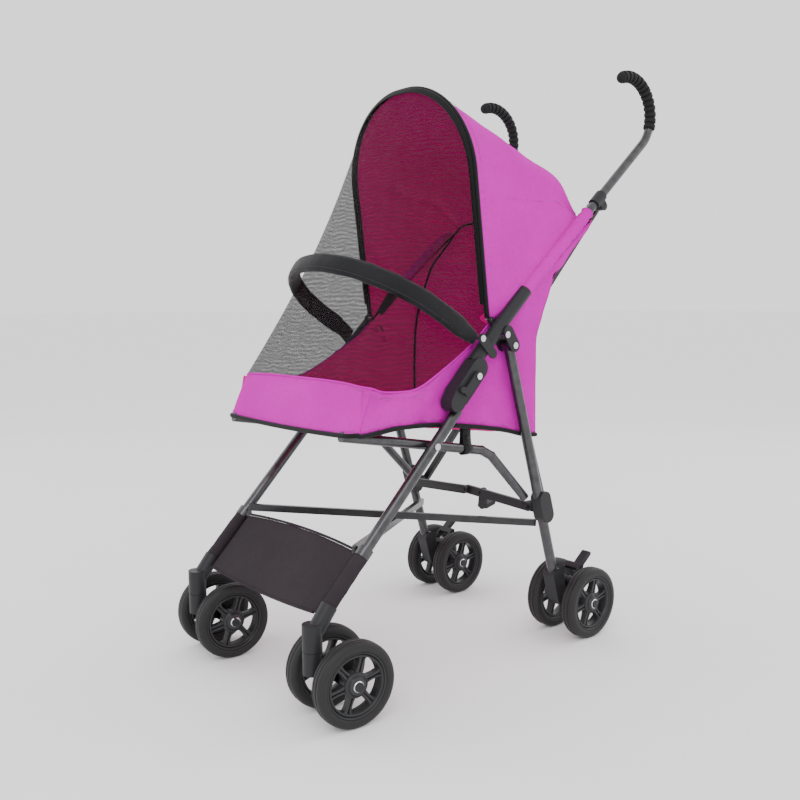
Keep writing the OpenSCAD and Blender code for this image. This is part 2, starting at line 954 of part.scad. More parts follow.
handle_tube(false);  // handle_tube_right
handle_tube(true);  // handle_tube_left
grip(false);  // grip_right
grip(true);  // grip_left
upper_sleeve(false);  // upper_sleeve_right
upper_sleeve(true);  // upper_sleeve_left
latch_housing(false);  // latch_housing_right
latch_housing(true);  // latch_housing_left
latch_catch(false);  // latch_catch_right
latch_catch(true);  // latch_catch_left
front_leg(false);  // front_leg_right
front_leg(true);  // front_leg_left
caster_socket(false);  // caster_socket_right
caster_socket(true);  // caster_socket_left
caster_fork(false);  // caster_fork_right
caster_fork(true);  // caster_fork_left
front_wheel(false, 1);  // front_wheel_right_outer
front_wheel(false, -1);  // front_wheel_right_inner
front_wheel(true, 1);  // front_wheel_left_inner
front_wheel(true, -1);  // front_wheel_left_outer
rear_leg(false);  // rear_leg_right
rear_leg(true);  // rear_leg_left
pivot_bracket(false);  // pivot_bracket_right
pivot_bracket(true);  // pivot_bracket_left
rear_collar(false);  // rear_collar_right
rear_collar(true);  // rear_collar_left
rear_wheel_housing(false);  // rear_wheel_housing_right
rear_wheel_housing(true);  // rear_wheel_housing_left
rear_wheel(false, 1);  // rear_wheel_right_outer
rear_wheel(false, -1);  // rear_wheel_right_inner
rear_wheel(true, 1);  // rear_wheel_left_inner
rear_wheel(true, -1);  // rear_wheel_left_outer
brake_pedal(false);  // brake_pedal_right
brake_pedal(true);  // brake_pedal_left
seat_tube(false);  // seat_tube_right
seat_tube(true);  // seat_tube_left
cross_bracket(false);  // cross_bracket_right
cross_bracket(true);  // cross_bracket_left
cross_yoke(false);  // cross_yoke_right
cross_yoke(true);  // cross_yoke_left
back_cross_bar(false);  // back_cross_bar_right
back_cross_bar(true);  // back_cross_bar_left
lower_cross_bar(false);  // lower_cross_bar_right
lower_cross_bar(true);  // lower_cross_bar_left
lock_bar(false);  // lock_bar_right
lock_bar(true);  // lock_bar_left
foot_lever();
canopy_bow();
bumper_bar();
cabin_side(false);  // cabin_side_right
cabin_side(true);  // cabin_side_left
cabin_back();
cabin_floor();
front_band();
canopy_roof();
mesh_panel();
footrest_panel();
frame_rivets(false);  // frame_rivets_right
frame_rivets(true);  // frame_rivets_left
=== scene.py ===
import math

import bmesh
import bpy
import numpy as np
from mathutils import Matrix, Vector, geometry, noise


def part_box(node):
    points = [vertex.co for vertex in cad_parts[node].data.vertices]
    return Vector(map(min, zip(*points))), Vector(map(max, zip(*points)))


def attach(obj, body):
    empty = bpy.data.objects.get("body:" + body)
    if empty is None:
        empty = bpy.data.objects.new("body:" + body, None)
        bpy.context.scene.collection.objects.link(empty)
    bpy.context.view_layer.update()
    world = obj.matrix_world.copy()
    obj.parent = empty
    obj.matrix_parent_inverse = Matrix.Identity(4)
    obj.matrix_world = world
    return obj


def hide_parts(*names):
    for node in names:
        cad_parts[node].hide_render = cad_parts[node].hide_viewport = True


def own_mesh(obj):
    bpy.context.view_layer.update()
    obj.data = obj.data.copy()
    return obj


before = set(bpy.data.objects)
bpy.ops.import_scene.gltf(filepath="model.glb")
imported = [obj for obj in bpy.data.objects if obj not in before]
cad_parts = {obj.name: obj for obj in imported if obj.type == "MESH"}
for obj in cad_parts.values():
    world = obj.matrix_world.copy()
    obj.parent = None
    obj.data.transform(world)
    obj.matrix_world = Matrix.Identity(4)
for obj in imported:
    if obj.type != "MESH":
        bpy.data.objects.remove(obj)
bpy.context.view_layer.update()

HALF_W = 0.1765      # from the middle to a side frame's tubes
CLOTH_T = 0.0016
LEAN = math.radians(7.2)    # the canopy bow leans forward
SIDES = (("right", 1), ("left", -1))


# ---------------------------------------------------------------- materials

def new_material(name, rough=0.6, metallic=0.0):
    """A node material, with its node tree, its shader and object coordinates."""
    mat = bpy.data.materials.new(name)
    mat.use_nodes = True
    nodes, links = mat.node_tree.nodes, mat.node_tree.links
    bsdf = nodes["Principled BSDF"]
    bsdf.inputs["Roughness"].default_value = rough
    bsdf.inputs["Metallic"].default_value = metallic
    coord = nodes.new("ShaderNodeTexCoord")
    return mat, nodes, links, bsdf, coord.outputs["Object"]


def noise_node(nodes, links, coord, scale, detail=4.0, stretch=None):
    if stretch:
        mapping = nodes.new("ShaderNodeMapping")
        mapping.inputs["Scale"].default_value = stretch
        links.new(coord, mapping.inputs["Vector"])
        coord = mapping.outputs["Vector"]
    tex = nodes.new("ShaderNodeTexNoise")
    tex.inputs["Scale"].default_value = scale
    tex.inputs["Detail"].default_value = detail
    links.new(coord, tex.inputs["Vector"])
    return tex.outputs["Fac"]


def wave_node(nodes, links, coord, scale, direction, distortion=0.0, turn=0.0):
    if turn:
        mapping = nodes.new("ShaderNodeMapping")
        mapping.inputs["Rotation"].default_value = (turn, turn * 0.6, turn)
        links.new(coord, mapping.inputs["Vector"])
        coord = mapping.outputs["Vector"]
    tex = nodes.new("ShaderNodeTexWave")
    tex.bands_direction = direction
    tex.inputs["Scale"].default_value = scale
    tex.inputs["Distortion"].default_value = distortion
    tex.inputs["Detail"].default_value = 2.0
    links.new(coord, tex.inputs["Vector"])
    return tex.outputs["Fac"]


def math_node(nodes, links, op, a, b=0.5, clamp=False):
    node = nodes.new("ShaderNodeMath")
    node.operation = op
    node.use_clamp = clamp
    for socket, value in zip(node.inputs, (a, b)):
        if isinstance(value, (int, float)):
            socket.default_value = value
        else:
            links.new(value, socket)
    return node.outputs[0]


def mix_colours(nodes, links, fac, a, b):
    """Goes from colour a to colour b as fac rises."""
    ramp = nodes.new("ShaderNodeValToRGB")
    ramp.color_ramp.elements[0].position = 0.3
    ramp.color_ramp.elements[1].position = 0.7
    ramp.color_ramp.elements[0].color = (*a, 1)
    ramp.color_ramp.elements[1].color = (*b, 1)
    links.new(fac, ramp.inputs["Fac"])
    return ramp.outputs["Color"]


def add_bump(nodes, links, bsdf, height, strength, distance=0.001, below=None):
    """Bumps the shader by a height, on top of the bump below it."""
    bump = nodes.new("ShaderNodeBump")
    bump.inputs["Strength"].default_value = strength
    bump.inputs["Distance"].default_value = distance
    links.new(height, bump.inputs["Height"])
    if below:
        links.new(below, bump.inputs["Normal"])
    links.new(bump.outputs["Normal"], bsdf.inputs["Normal"])
    return bump.outputs["Normal"]


def woven(name, colour, shade, weave=420.0, rough=0.78, sheen=0.25, crease=0.5):
    """Woven cloth: fine crossed threads, soft creases and uneven dye."""
    mat, nodes, links, bsdf, coord = new_material(name, rough)
    bsdf.inputs["Sheen Weight"].default_value = sheen
    bsdf.inputs["Sheen Roughness"].default_value = 0.45
    bsdf.inputs["Specular IOR Level"].default_value = 0.1
    big = noise_node(nodes, links, coord, 7.0, 5.0)
    fine = noise_node(nodes, links, coord, 160.0, 2.0)
    mixed = math_node(nodes, links, "ADD", math_node(nodes, links, "MULTIPLY", big, 0.75),
                      math_node(nodes, links, "MULTIPLY", fine, 0.25))
    links.new(mix_colours(nodes, links, mixed, shade, colour), bsdf.inputs["Base Color"])
    warp = wave_node(nodes, links, coord, weave, "Y", 0.4)
    weft = wave_node(nodes, links, coord, weave, "Z", 0.4)
    threads = math_node(nodes, links, "MULTIPLY", warp, weft)
    folds = noise_node(nodes, links, coord, 16.0, 3.0, (1.0, 0.7, 1.6))
    first = add_bump(nodes, links, bsdf, folds, crease, 0.006)
    add_bump(nodes, links, bsdf, threads, 0.25, 0.0006, first)
    return mat


def painted_metal(name, colour, shade, rough=0.34, metallic=0.85):
    """Painted or bright metal: specks of shade, fine brushing and a thin clear coat."""
    mat, nodes, links, bsdf, coord = new_material(name, rough, metallic)
    speck = noise_node(nodes, links, coord, 60.0, 6.0)
    brushed = noise_node(nodes, links, coord, 900.0, 2.0, (1.0, 0.15, 0.15))
    links.new(mix_colours(nodes, links, speck, shade, colour), bsdf.inputs["Base Color"])
    rough_mix = math_node(nodes, links, "MULTIPLY_ADD", speck, 0.2)
    rough_mix.node.inputs[2].default_value = rough - 0.1
    links.new(rough_mix, bsdf.inputs["Roughness"])
    bsdf.inputs["Coat Weight"].default_value = 0.25
    bsdf.inputs["Coat Roughness"].default_value = 0.2
    add_bump(nodes, links, bsdf, brushed, 0.08, 0.0003)
    return mat


def moulded(name, colour, edge, rough=0.5, grain=500.0, grain_depth=0.12):
    """Moulded plastic or rubber: fine grain, paler worn edges, uneven gloss."""
    mat, nodes, links, bsdf, coord = new_material(name, rough)
    bsdf.inputs["Specular IOR Level"].default_value = 0.2
    grain_fac = noise_node(nodes, links, coord, grain, 3.0)
    patch = noise_node(nodes, links, coord, 24.0, 5.0)
    geo = nodes.new("ShaderNodeNewGeometry")
    worn = math_node(nodes, links, "MULTIPLY_ADD", geo.outputs["Pointiness"], 5.0)
    worn.node.inputs[2].default_value = -2.15
    worn = math_node(nodes, links, "ADD", worn, math_node(nodes, links, "MULTIPLY", patch, 0.35), True)
    links.new(mix_colours(nodes, links, worn, colour, edge), bsdf.inputs["Base Color"])
    gloss = math_node(nodes, links, "MULTIPLY_ADD", patch, 0.25)
    gloss.node.inputs[2].default_value = rough - 0.12
    links.new(gloss, bsdf.inputs["Roughness"])
    add_bump(nodes, links, bsdf, grain_fac, grain_depth, 0.0005)
    return mat


def net(name):
    """Open net: dark threads, mostly clear, with a slow ripple like two nets laid over each other."""
    mat, nodes, links, bsdf, coord = new_material(name, 0.7)
    bsdf.inputs["Specular IOR Level"].default_value = 0.05
    up = wave_node(nodes, links, coord, 150.0, "Z", 0.8, 0.5)
    across = wave_node(nodes, links, coord, 150.0, "X", 0.8, -0.5)
    threads = math_node(nodes, links, "MAXIMUM", up, across)
    ripple = wave_node(nodes, links, coord, 42.0, "Z", 7.0)
    shade = math_node(nodes, links, "MULTIPLY_ADD", ripple, 0.11)
    shade.node.inputs[2].default_value = 0.20
    cover = math_node(nodes, links, "ADD", math_node(nodes, links, "MULTIPLY", threads, 0.16), shade, True)
    links.new(cover, bsdf.inputs["Alpha"])
    links.new(mix_colours(nodes, links, ripple, (0.010, 0.009, 0.010), (0.018, 0.016, 0.018)),
              bsdf.inputs["Base Color"])
    add_bump(nodes, links, bsdf, threads, 0.4, 0.0006)
    return mat


PINK = woven("pink_fabric", (0.62, 0.003, 0.45), (0.50, 0.001, 0.36), rough=0.9, sheen=0.0)
CRIMSON = woven("crimson_lining", (0.60, 0.001, 0.20), (0.44, 0.001, 0.14), rough=0.95, crease=0.35,
                sheen=0.0)
# a small glow stands for daylight that comes through the thin lining
for bsdf in [n for n in CRIMSON.node_tree.nodes if n.type == "BSDF_PRINCIPLED"]:
    bsdf.inputs["Emission Color"].default_value = (0.72, 0.0, 0.26, 1)
    bsdf.inputs["Emission Strength"].default_value = 0.27
CHARCOAL = woven("charcoal_cloth", (0.036, 0.029, 0.034), (0.026, 0.021, 0.025), 300.0, 0.85, 0.0)
PIPING = woven("black_binding", (0.012, 0.012, 0.013), (0.007, 0.007, 0.008), 500.0, 0.7, 0.1, 0.2)
PADDED = woven("bumper_cloth", (0.016, 0.016, 0.018), (0.009, 0.009, 0.01), 380.0, 0.72, 0.15, 0.3)
WEBBING = woven("webbing", (0.02, 0.02, 0.022), (0.01, 0.01, 0.011), 700.0, 0.65, 0.1, 0.1)
THREAD = woven("pink_thread", (0.5, 0.06, 0.4), (0.42, 0.05, 0.33), 900.0, 0.6, 0.2, 0.1)
DARK_THREAD = woven("dark_thread", (0.05, 0.05, 0.055), (0.03, 0.03, 0.032), 900.0, 0.6, 0.2, 0.1)
TUBE = painted_metal("gunmetal_tube", (0.078, 0.078, 0.081), (0.048, 0.048, 0.051), 0.3)
BARS = painted_metal("dark_bar", (0.03, 0.03, 0.032), (0.018, 0.018, 0.02), 0.4, 0.6)
SILVER = painted_metal("silver_rivet", (0.75, 0.76, 0.78), (0.6, 0.61, 0.63), 0.22, 1.0)
BLACK = moulded("black_plastic", (0.006, 0.006, 0.007), (0.022, 0.022, 0.024), 0.40)
FOAM = moulded("foam_grip", (0.004, 0.004, 0.0045), (0.012, 0.012, 0.013), 0.7, 900.0, 0.3)
TYRE = moulded("tyre", (0.008, 0.0078, 0.008), (0.022, 0.021, 0.022), 0.5, 600.0, 0.25)
RIM = moulded("wheel_rim", (0.012, 0.012, 0.013), (0.035, 0.035, 0.037), 0.33, 500.0, 0.08)
NET = net("mesh_net")


# ------------------------------------------------------------ mesh helpers

def make(name, verts, faces, mats, smooth=True):
    mesh = bpy.data.meshes.new(name)
    mesh.from_pydata([tuple(v) for v in verts], [], [tuple(f) for f in faces])
    mesh.validate()
    mesh.update()
    obj = bpy.data.objects.new(name, mesh)
    bpy.context.collection.objects.link(obj)
    for mat in mats if isinstance(mats, (list, tuple)) else [mats]:
        mesh.materials.append(mat)
    for p in mesh.polygons:
        p.use_smooth = smooth
    return obj


def flip(obj):
    obj.data.flip_normals()
    return obj


def face_out(obj, centre):
    """Turns an open sheet's normals away from a point."""
    total = sum((p.center - Vector(centre)).dot(p.normal) * p.area for p in obj.data.polygons)
    return obj if total > 0 else flip(obj)


def apply_modifiers(obj):
    """Replaces an object's mesh with what its modifiers make of it."""
    bpy.context.view_layer.update()
    deps = bpy.context.evaluated_depsgraph_get()
    mesh = bpy.data.meshes.new_from_object(obj.evaluated_get(deps))
    obj.modifiers.clear()
    obj.data = mesh
    return obj


def thicken(obj, thickness, inner=False, offset=-1.0):
    """Gives a sheet its thickness. With inner, the inside takes the second material."""
    mod = obj.modifiers.new("thick", "SOLIDIFY")
    mod.thickness = thickness
    mod.offset = offset
    if inner:
        mod.material_offset = 1
    return apply_modifiers(obj)


def smooth_more(obj, levels=1):
    mod = obj.modifiers.new("sub", "SUBSURF")
    mod.levels = mod.render_levels = levels
    return apply_modifiers(obj)


def place(obj, body, slot, *nodes, fold=True):
    """Puts a piece on its body and hides the CAD nodes it replaces; slot is not used. Soft pieces on the
    cabin or bumper get a mesh of their own.
    """
    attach(obj, body)
    if nodes:
        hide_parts(*nodes)
    if fold and body in ("cabin", "bumper"):
        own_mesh(obj)
    return obj


def grid_faces(rows, cols, wrap_cols=False, wrap_rows=False):
    """Quads of a grid of points, row by row."""
    faces = []
    for i in range(rows if wrap_rows else rows - 1):
        for j in range(cols if wrap_cols else cols - 1):
            a, b = i * cols + j, i * cols + (j + 1) % cols
            k = ((i + 1) % rows) * cols
            faces.append((a, b, k + (j + 1) % cols, k + j))
    return faces


def resample(points, n):
    """n points evenly spaced along a polyline."""
    p = np.array(points, float)
    d = np.r_[0, np.cumsum(np.linalg.norm(np.diff(p, axis=0), axis=1))]
    t = np.linspace(0, d[-1], n)
    return np.stack([np.interp(t, d, p[:, k]) for k in range(p.shape[1])], axis=1)


def smooth_path(points, n, rounds=3):
    """A polyline with its corners rounded off, evenly resampled."""
    p = np.array(points, float)
    for _ in range(rounds):
        q = [p[0]]
        for a, b in zip(p[:-1], p[1:]):
            q += [a * 0.75 + b * 0.25, a * 0.25 + b * 0.75]
        q.append(p[-1])
        p = np.array(q)
    return resample(p, n)


def frames_along(path, up=(0, 0, 1)):
    """Tangent, side and up direction at each point of a path."""
    p = np.array(path, float)
    t = np.gradient(p, axis=0)
    t /= np.linalg.norm(t, axis=1)[:, None]
    ups = np.tile(np.array(up, float), (len(p), 1)) if np.ndim(up) == 1 else np.array(up, float)
    side = np.cross(t, ups)
    side /= np.linalg.norm(side, axis=1)[:, None]
    return t, side, np.cross(side, t)


def sweep(name, path, profile, mats, up=(0, 0, 1), scale=None):
    """A profile of (side, up) offsets carried along a path."""
    _, side, upward = frames_along(path, up)
    prof = np.array(profile, float)
    rows, cols = len(path), len(prof)
    k = np.ones(rows) if scale is None else np.array(scale)
    verts = [(np.array(path[i]) + side[i] * a * k[i] + upward[i] * b * k[i])
             for i in range(rows) for a, b in prof]
    faces = grid_faces(rows, cols, True)
    faces += [tuple(range(cols)), tuple((rows - 1) * cols + j for j in reversed(range(cols)))]
    obj = make(name, verts, faces, mats)
    bm = bmesh.new()
    bm.from_mesh(obj.data)
    bmesh.ops.recalc_face_normals(bm, faces=bm.faces)
    bm.to_mesh(obj.data)
    bm.free()
    return obj


def ring(r, n=14, squash=1.0):
    """A round profile."""
    return [(r * math.cos(2 * math.pi * k / n), r * squash * math.sin(2 * math.pi * k / n))
            for k in range(n)]


def join(objs, name):
    """Joins meshes into one, keeping their materials."""
    verts, faces, mats, index, smooth = [], [], [], [], []
    for o in objs:
        base = len(verts)
        m = o.matrix_world
        verts += [tuple(m @ v.co) for v in o.data.vertices]
        slots = []
        for mat in o.data.materials:
            if mat not in mats:
                mats.append(mat)
            slots.append(mats.index(mat))
        for p in o.data.polygons:
            faces.append([base + v for v in p.vertices])
            index.append(slots[p.material_index] if slots else 0)
            smooth.append(p.use_smooth)
        bpy.data.objects.remove(o)
    obj = make(name, verts, faces, mats)
    for p, i, s in zip(obj.data.polygons, index, smooth):
        p.material_index, p.use_smooth = i, s
    return obj


def stitches(name, path, mat, normals, pitch=0.005, length=0.0032, r=0.00045):
    """A row of raised thread stitches along a path, each a small six-sided bead."""
    p = np.array(path, float)
    n = max(2, int(np.sum(np.linalg.norm(np.diff(p, axis=0), axis=1)) / pitch))
    p2 = resample(np.hstack([p, np.array(normals, float)]), n)
    pts, nor = p2[:, :3], p2[:, 3:]
    t = np.gradient(pts, axis=0)
    t /= np.linalg.norm(t, axis=1)[:, None] + 1e-12
    nor /= np.linalg.norm(nor, axis=1)[:, None] + 1e-12
    side = np.cross(t, nor)
    verts, faces = [], []
    for c, d, s, u in zip(pts, t, side, nor):
        base = len(verts)
        for along, k in ((-0.5, 0.35), (-0.25, 1.0), (0.25, 1.0), (0.5, 0.35)):
            for a in range(6):
                ang = math.pi * a / 3
                verts.append(c + u * r * 0.4 + d * length * along
                             + (s * math.cos(ang) + u * math.sin(ang)) * r * k)
        for i in range(3):
            for a in range(6):
                b = (a + 1) % 6
                faces.append((base + i * 6 + a, base + i * 6 + b,
                              base + i * 6 + 6 + b, base + i * 6 + 6 + a))
        faces += [tuple(base + a for a in reversed(range(6))), tuple(base + 18 + a for a in range(6))]
    return make(name, verts, faces, mat)


def ripple(p, scale, seed):
    """Smooth noise from -1 to 1 at a point."""
    return noise.noise(Vector((p[0] * scale + seed, p[1] * scale, p[2] * scale)))


# ------------------------------------------------------- shape of the cabin

BOW_PIVOT = np.array([-0.014, 0.577])    # (y, z) pairs in this section
HOOD_REAR = (0.228, 0.759)
BOW_H = (0.978 - 0.577) / math.cos(LEAN) - 0.004
BOW_X = 0.159
BOW_ROUND = 0.149


def bow_point(t, inset=0.0, ahead=0.0):
    """Point on the canopy bow, t from 0 at the right foot to 1 at the left foot."""
    leg = BOW_H - BOW_ROUND
    arc = math.pi / 2 * BOW_ROUND
    flat = 2 * (BOW_X - BOW_ROUND)
    total = 2 * (leg + arc) + flat
    s = t * total
    sign = 1
    if s > total / 2:
        s, sign = total - s, -1
    if s < leg:
        x, v = BOW_X - inset, s
    elif s < leg + arc:
        a = (s - leg) / BOW_ROUND
        x = BOW_X - BOW_ROUND + (BOW_ROUND - inset) * math.cos(a)
        v = leg + (BOW_ROUND - inset) * math.sin(a)
    else:
        x, v = total / 2 - s, BOW_H - inset
    y = BOW_PIVOT[0] - v * math.sin(LEAN) - ahead * math.cos(LEAN)
    z = BOW_PIVOT[1] + v * math.cos(LEAN) - ahead * math.sin(LEAN)
    return np.array([sign * x, y, z])


HOOD_S = (0.0, 0.3, 0.58, 0.82, 1.0)
# [y, z] at each station: where the wall turns into roof, and the crown; then how square the arch is
SHOULDER = np.array([(-0.046, 0.828), (0.040, 0.830), (0.112, 0.815), (0.146, 0.811), (0.221, 0.763)])
CROWN = np.array([(-0.0635, 0.9775), (0.040, 0.921), (0.120, 0.882), (0.203, 0.844), (0.230, 0.773)])
SQUARE = np.array([1.0, 0.8, 0.7, 0.6, 0.55])


def along_hood(table, s):
    """Value of a table of stations at s, with its kinks softened."""
    near = np.clip([s - 0.05, s - 0.025, s, s + 0.025, s + 0.05], 0, 1) if 0.05 < s < 0.95 else [s]
    cols = table.reshape(len(HOOD_S), -1).T
    return np.array([np.mean(np.interp(near, HOOD_S, col)) for col in cols])


def hood_section(s):
    """The hood's cross-section at s, from 0 at the bow to 1 at the rear."""
    base = np.array([-0.014 + 0.242 * s, 0.577 + 0.182 * s])
    widths = 0.159 + 0.0215 * min(1.0, s / 0.3) ** 0.7, 0.1600 - 0.008 * min(1.0, s / 0.3)
    return base, along_hood(SHOULDER, s), along_hood(CROWN, s), widths, along_hood(SQUARE, s)[0]


def hood_point(s, t, section=None):
    """Point on the hood, t from 0 at the right foot to 1 at the left foot."""
    base, shoulder, crown, widths, square = section or hood_section(s)
    u = 1 - abs(2 * t - 1)
    if u < 0.5:
        k = u / 0.5
        x = widths[0] + (widths[1] - widths[0]) * k ** 0.8
        y, z = base + (shoulder - base) * k
    else:
        a = math.pi * (u - 0.5)
        x = widths[1] * max(0.0, math.cos(a)) ** square
        y, z = shoulder + (crown - shoulder) * math.sin(a) ** square
    return np.array([x if t < 0.5 else -x, y, z])


def hood():
    rows, cols = 44, 121
    verts = []
    for i in range(rows):
        s = i / (rows - 1)
        section = hood_section(s)
        for j in range(cols):
            t = j / (cols - 1)
            p = hood_point(s, t, section)
            calm = math.sin(math.pi * s) ** 0.5 * math.sin(math.pi * t) ** 0.4
            fold = ripple((p[0], p[1] * 0.5, p[2] * 0.4), 14.0, 3.0) * 0.0042 \
                + ripple(p, 34.0, 9.0) * 0.0015
            out = Vector((p[0], 0.25 * p[1], p[2] - 0.66)).normalized()
            verts.append(p + np.array(out) * fold * calm)
    obj = make("hood", verts, grid_faces(rows, cols), [PINK, CRIMSON])
    face_out(obj, (0, 0.02, 0.68))
    thicken(obj, CLOTH_T, True)
    return obj


RIGHT_EDGE = [(-0.2865, 0.4865), (-0.252, 0.4795), (-0.219, 0.4775), (-0.179, 0.4775), (-0.137, 0.496),
              (-0.083, 0.5265), (-0.042, 0.552), (-0.014, 0.577)]
LOW_EDGE = [(0.104, 0.381), (0.076, 0.382), (0.025, 0.3965), (-0.047, 0.4085), (-0.137, 0.420),
            (-0.219, 0.4235), (-0.262, 0.4185), (-0.300, 0.4165)]
REAR_EDGE = [(0.228, 0.759), (0.222, 0.747), (0.196, 0.722), (0.163, 0.690), (0.139, 0.655), (0.115, 0.597),
             (0.103, 0.549), (0.102, 0.47), (0.104, 0.381)]
SIDE_X = np.array([
    (-0.310, 0.420, 0.1775), (-0.290, 0.490, 0.1755), (-0.219, 0.4775, 0.170), (-0.137, 0.496, 0.1635),
    (-0.083, 0.526, 0.1625), (-0.042, 0.551, 0.1605), (-0.014, 0.577, 0.1600), (0.030, 0.610, 0.1690),
    (0.058, 0.631, 0.1790), (0.140, 0.693, 0.1805), (0.228, 0.759, 0.1805), (0.139, 0.655, 0.1690),
    (0.103, 0.549, 0.1635), (0.104, 0.382, 0.1640), (0.025, 0.397, 0.1640), (-0.047, 0.4085, 0.1640),
    (-0.100, 0.460, 0.1640), (-0.137, 0.420, 0.1650), (-0.219, 0.4235, 0.1740), (0.060, 0.480, 0.1640),
    (0.010, 0.520, 0.1630), (0.090, 0.600, 0.1680), (-0.060, 0.490, 0.1630)
])


def side_x(y, z):
    """How far out the side cloth stands at a point, blended from the places listed."""
    d = (SIDE_X[:, 0] - y) ** 2 + (SIDE_X[:, 1] - z) ** 2 + 1e-6
    w = d ** -1.6
    return float((w @ SIDE_X[:, 2]) / w.sum())


def side_panel(side, sign):
    """One side of the cabin: its outline filled with small triangles, then pulled into soft folds."""
    outline = np.vstack([resample(RIGHT_EDGE, 40)[:-1], resample([BOW_PIVOT, HOOD_REAR], 36)[:-1],
                         resample(REAR_EDGE, 50)[:-1], resample(LOW_EDGE, 50)[:-1],
                         resample([(-0.300, 0.4165), (-0.2865, 0.4865)], 10)[:-1]])
    n = len(outline)
    inner = []
    step = 0.0085
    poly = [Vector(p) for p in outline]
    for i, y in enumerate(np.arange(-0.32, 0.24, step)):
        for z in np.arange(0.375 + (i % 2) * step / 2, 0.77, step):
            q = Vector((y, z))
            inside = False
            near = False
            for a, b in zip(poly, poly[1:] + poly[:1]):
                if (a.y > q.y) != (b.y > q.y) and q.x < (b.x - a.x) * (q.y - a.y) / (b.y - a.y) + a.x:
                    inside = not inside
                if (a - q).length < step * 0.6:
                    near = True
            if inside and not near:
                inner.append(q)
    points = poly + inner
    edges = [(i, (i + 1) % n) for i in range(n)]
    out = geometry.delaunay_2d_cdt(points, edges, [], 1, 1e-7)
    verts2, faces = out[0], out[2]
    verts = []
    hollow = np.array(outline)
    for v in verts2:
        edge = float(np.min(np.hypot(hollow[:, 0] - v.x, hollow[:, 1] - v.y)))
        calm = min(1.0, edge / 0.03)
        # soft pulls that fan out from the latch and from the leg's top
        a = math.atan2(v.y - 0.50, v.x + 0.075)
        r = math.hypot(v.x + 0.075, v.y - 0.50)
        pull = 0.0016 * math.sin(a * 11) * math.exp(-((r - 0.09) / 0.06) ** 2)
        puff = 0.0024 * ripple((v.x, v.y * 0.6, sign), 20.0, 5.0) \
            + 0.0010 * ripple((v.x, v.y, sign), 48.0, 1.0)
        x = side_x(v.x, v.y) + (pull + puff) * calm - 0.001 * calm
        verts.append((sign * x, v.x, v.y))
    obj = make("cabin_side_cloth_" + side, verts, faces, [PINK, CRIMSON])
    face_out(obj, (0, 0, 0.5))
    thicken(obj, CLOTH_T, True)
    return obj


def back_wall():
    """Back wall: up the rear edge to the hood's corner, then on to the hood's rear arch."""
    line = resample(REAR_EDGE[::-1], 40)
    cols = 61
    verts = []
    for i, (y, z) in enumerate(line):
        half = side_x(y, z)
        for j in range(cols):
            u = 2 * j / (cols - 1) - 1
            belly = 0.010 * (1 - u * u) ** 0.6 * math.sin(math.pi * min(1.0, i / 36)) ** 0.5
            soft = 0.0022 * ripple((u * 0.16, z * 0.6, 0.3), 22.0, 2.0) * (1 - u * u)
            verts.append((half * u, y + belly + soft, z))
    rows = len(line)
    for k in range(1, 9):
        for j in range(cols):
            t = 0.5 - 0.5 * (2 * j / (cols - 1) - 1)
            top = hood_point(1.0, t)
            low = np.array([side_x(*HOOD_REAR) * (2 * j / (cols - 1) - 1), *HOOD_REAR])
            f = k / 8
            p = low + (top - low) * f
            p[1] += 0.003 * math.sin(math.pi * f)
            verts.append(p)
        rows += 1
    obj = make("back_wall", verts, grid_faces(rows, cols), [PINK, CRIMSON])
    face_out(obj, (0, -0.2, 0.6))
    thicken(obj, CLOTH_T, True)
    return obj


BAND_LOW = (-0.3165, 0.4195)
BAND_HIGH = (-0.2865, 0.4945)


def band_point(u, v):
    """Front band: u from -1 to 1 across with rounded ends, v from 0 at the foot to 1 at the top."""
    y0 = BAND_LOW[0] + (BAND_HIGH[0] - BAND_LOW[0]) * v
    z0 = BAND_LOW[1] + (BAND_HIGH[1] - BAND_LOW[1]) * v
    width = 0.1785 - 0.004 * v
    a = abs(u)
    flat = 0.86
    corner = 0.016
    if a < flat:
        x, back = (width - corner) * a / flat, 0.0
    else:
        ang = math.pi / 2 * (a - flat) / (1 - flat)
        x, back = width - corner + corner * math.sin(ang), corner * (1 - math.cos(ang))
    bulge = 0.006 * math.sin(math.pi * v) * (1 - a ** 3)
    dip = 0.004 * (1 - a * a)
    return np.array([math.copysign(x, u), y0 + back - bulge, z0 - dip * (1 - v) - 0.008 * v * a ** 4])


def front_band():
    rows, cols = 15, 91
    verts = []
    for i in range(rows):
        v = i / (rows - 1)
        for j in range(cols):
            u = 2 * j / (cols - 1) - 1
            p = band_point(u, v)
            p[1] += 0.0016 * ripple(p, 26.0, 7.0) * math.sin(math.pi * v)
            verts.append(p)
    obj = make("front_band_cloth", verts, grid_faces(rows, cols), [PINK, CRIMSON])
    face_out(obj, (0, 0, 0.46))
    thicken(obj, 0.0018, True)
    return obj


def mesh_edge():
    """The mesh's lower edge, from the right bow foot round the front to the left."""
    right = [(side_x(y, z), y, z) for y, z in reversed(RIGHT_EDGE)]
    front = [tuple(band_point(u, 1.0)) for u in np.linspace(1, -1, 41)]
    left = [(-x, y, z) for x, y, z in reversed(right)]
    return right[:-1] + front + left[1:]


MESH_WAIST = 0.09    # share by which the mesh draws in half way down


